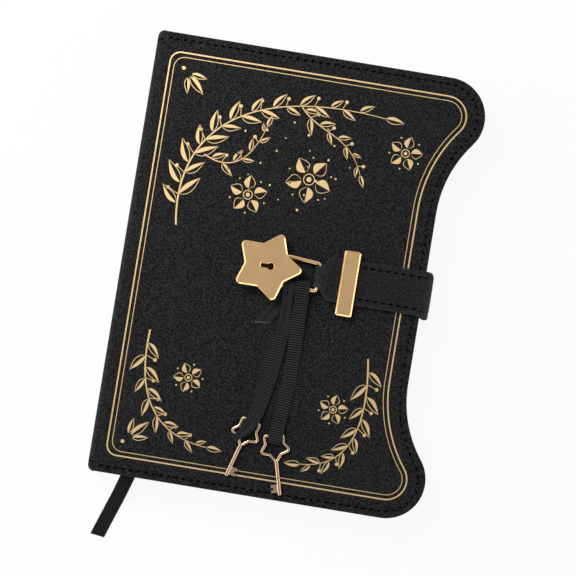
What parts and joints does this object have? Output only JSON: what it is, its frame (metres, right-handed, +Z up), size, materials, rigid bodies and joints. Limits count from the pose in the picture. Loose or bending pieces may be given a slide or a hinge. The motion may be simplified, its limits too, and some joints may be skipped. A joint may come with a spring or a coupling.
{
  "type": "lockable diary",
  "caption": "Hardback diary in black leatherette with a scooped fore-edge, a strap and ring holding a star-shaped key lock, ribbons with keys, and a bookmark ribbon.",
  "frame": {"origin": "under the middle of the back cover, on the table", "axes": "+X from the spine to the fore-edge, +Y to the head of the diary, +Z up out of the front cover"},
  "size_m": [0.163, 0.251, 0.0278],
  "materials": {
    "case_skin": "matt fine-grained black leatherette",
    "strap_skin": "matt fine-grained black leatherette",
    "board": "grey bookbinder's board",
    "endpaper": "plain black endpaper",
    "leaves": "uncoated cream paper",
    "binding_cloth": "plain cotton",
    "bands": "black woven band",
    "ribbon": "black grosgrain",
    "gold": "satin gold plate with bright edges",
    "key_gold": "bright pinkish gold plate",
    "steel": "plain steel"
  },
  "bodies": {
    "root": {"back_cover_skin": "case_skin", "back_cover_board": "board", "back_cover_lining": "endpaper", "strap_anchor": "strap_skin", "spine_skin": "case_skin", "spine_board": "board", "back_flyleaf": "leaves", "section_1": "leaves", "section_2": "leaves", "section_3": "leaves", "section_4": "leaves", "section_5": "leaves", "section_6": "leaves", "section_7": "leaves", "section_8": "leaves", "sewing_tapes": "binding_cloth", "spine_lining": "binding_cloth", "head_band": "bands", "tail_band": "bands", "bookmark_ribbon": "ribbon", "bookmark_tail": "ribbon"},
    "front_cover": {"front_cover_skin": "case_skin", "front_cover_board": "board", "front_cover_lining": "endpaper", "strike_stud": "gold", "strike_washer": "steel"},
    "front_flyleaf": {"front_flyleaf": "leaves"},
    "turned_leaf_2": {"turned_leaf_2": "leaves"},
    "turned_leaf_1": {"turned_leaf_1": "leaves"},
    "strap_side": {"strap_side_skin": "strap_skin", "strap_side_lining": "strap_skin"},
    "strap_top": {"strap_top_skin": "strap_skin", "strap_top_lining": "strap_skin", "strap_bar": "gold", "bar_pins": "steel"},
    "clasp": {"clasp_ring": "gold", "star_face": "gold", "star_back_plate": "gold", "bolt_spring": "steel"},
    "bolt": {"lock_bolt": "steel"},
    "ribbon_left": {"ribbon_left": "ribbon"},
    "ribbon_right": {"ribbon_right": "ribbon"},
    "key_left": {"key_left": "key_gold"},
    "key_right": {"key_right": "key_gold"}
  },
  "joints": [
    {"name": "cover_open", "type": "hinge", "parent": "root", "child": "front_cover", "pos_m": [-0.0775, 0, 0.0199], "axis": [0, -1, 0], "range_deg": [0, 180]},
    {"name": "front_flyleaf_turn", "type": "hinge", "parent": "root", "child": "front_flyleaf", "pos_m": [-0.0775, 0, 0.0199], "axis": [0, -1, 0], "range_deg": [0, 173.7]},
    {"name": "turned_leaf_2_turn", "type": "hinge", "parent": "root", "child": "turned_leaf_2", "pos_m": [-0.0775, 0, 0.0199], "axis": [0, -1, 0], "range_deg": [0, 165.6]},
    {"name": "turned_leaf_1_turn", "type": "hinge", "parent": "root", "child": "turned_leaf_1", "pos_m": [-0.0775, 0, 0.0199], "axis": [0, -1, 0], "range_deg": [0, 18]},
    {"name": "strap_swing", "type": "hinge", "parent": "front_cover", "child": "strap_side", "pos_m": [0.06695, 0.0024, 0.0008], "axis": [0, 1, 0], "range_deg": [0, 70]},
    {"name": "strap_unbend", "type": "hinge", "parent": "strap_side", "child": "strap_top", "pos_m": [0.0625, 0.0024, 0.02195], "axis": [0, 1, 0], "range_deg": [0, 85]},
    {"name": "clasp_swing", "type": "hinge", "parent": "strap_top", "child": "clasp", "pos_m": [0.0142, 0.0024, 0.0223], "axis": [0, 1, 0], "range_deg": [0, 75]},
    {"name": "bolt_throw", "type": "slide", "parent": "clasp", "child": "bolt", "axis": [-1, 0, 0], "range_m": [0, 0.0023]},
    {"name": "ribbon_left_swing", "type": "hinge", "parent": "clasp", "child": "ribbon_left", "pos_m": [0.0017, -0.0046, 0.0223], "axis": [-1, 0, 0], "range_deg": [0, 85]},
    {"name": "ribbon_right_swing", "type": "hinge", "parent": "clasp", "child": "ribbon_right", "pos_m": [0.0082, -0.0046, 0.0223], "axis": [-1, 0, 0], "range_deg": [0, 85]},
    {"name": "key_left_swing", "type": "hinge", "parent": "ribbon_left", "child": "key_left", "pos_m": [-0.00665, -0.0726, 0.02125], "axis": [0, 0, 1], "range_deg": [-2, 8]},
    {"name": "key_right_swing", "type": "hinge", "parent": "ribbon_right", "child": "key_right", "pos_m": [0.0054, -0.0776, 0.02125], "axis": [0, 0, 1], "range_deg": [-8, 2]}
  ],
  "couplings": [
    {"joint": "front_flyleaf_turn", "follows": "cover_open", "ratio": 0.965},
    {"joint": "turned_leaf_2_turn", "follows": "cover_open", "ratio": 0.92},
    {"joint": "turned_leaf_1_turn", "follows": "cover_open", "ratio": 0.1}
  ]
}
